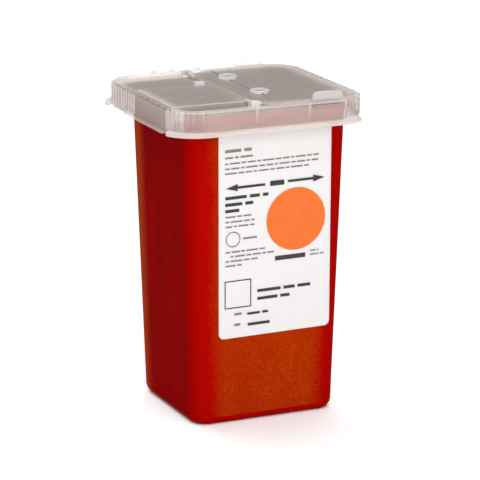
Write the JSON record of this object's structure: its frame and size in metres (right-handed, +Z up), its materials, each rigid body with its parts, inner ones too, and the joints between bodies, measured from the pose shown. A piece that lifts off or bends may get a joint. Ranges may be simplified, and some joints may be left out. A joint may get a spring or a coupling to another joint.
{
  "type": "sharps container",
  "caption": "Small tapered red sharps container with a translucent push-on lid, a hinged disposal flap and a front label without words.",
  "frame": {"origin": "under the middle of the lid, on the surface the container stands on", "axes": "+Z up, the labelled front faces -Y, the flap's hinge runs along Y with the flap on its +X side"},
  "size_m": [0.1018, 0.0994, 0.1587],
  "materials": {
    "body": "moulded red polypropylene, slightly translucent",
    "label": "white film label, without words or signs",
    "lid": "moulded natural polypropylene, translucent",
    "flap": "moulded natural polypropylene, translucent"
  },
  "bodies": {
    "container": {"container_body": "body", "front_label": "label"},
    "lid": {"lid_frame": "lid"},
    "flap": {"disposal_flap": "flap"}
  },
  "joints": [
    {"name": "lid_lift", "type": "slide", "parent": "container", "child": "lid", "axis": [0, 0, 1], "range_m": [0, 0.03]},
    {"name": "flap_hinge", "type": "hinge", "parent": "lid", "child": "flap", "pos_m": [-0.0077, 0, 0.1543], "axis": [0, -1, 0], "range_deg": [0, 130]}
  ]
}
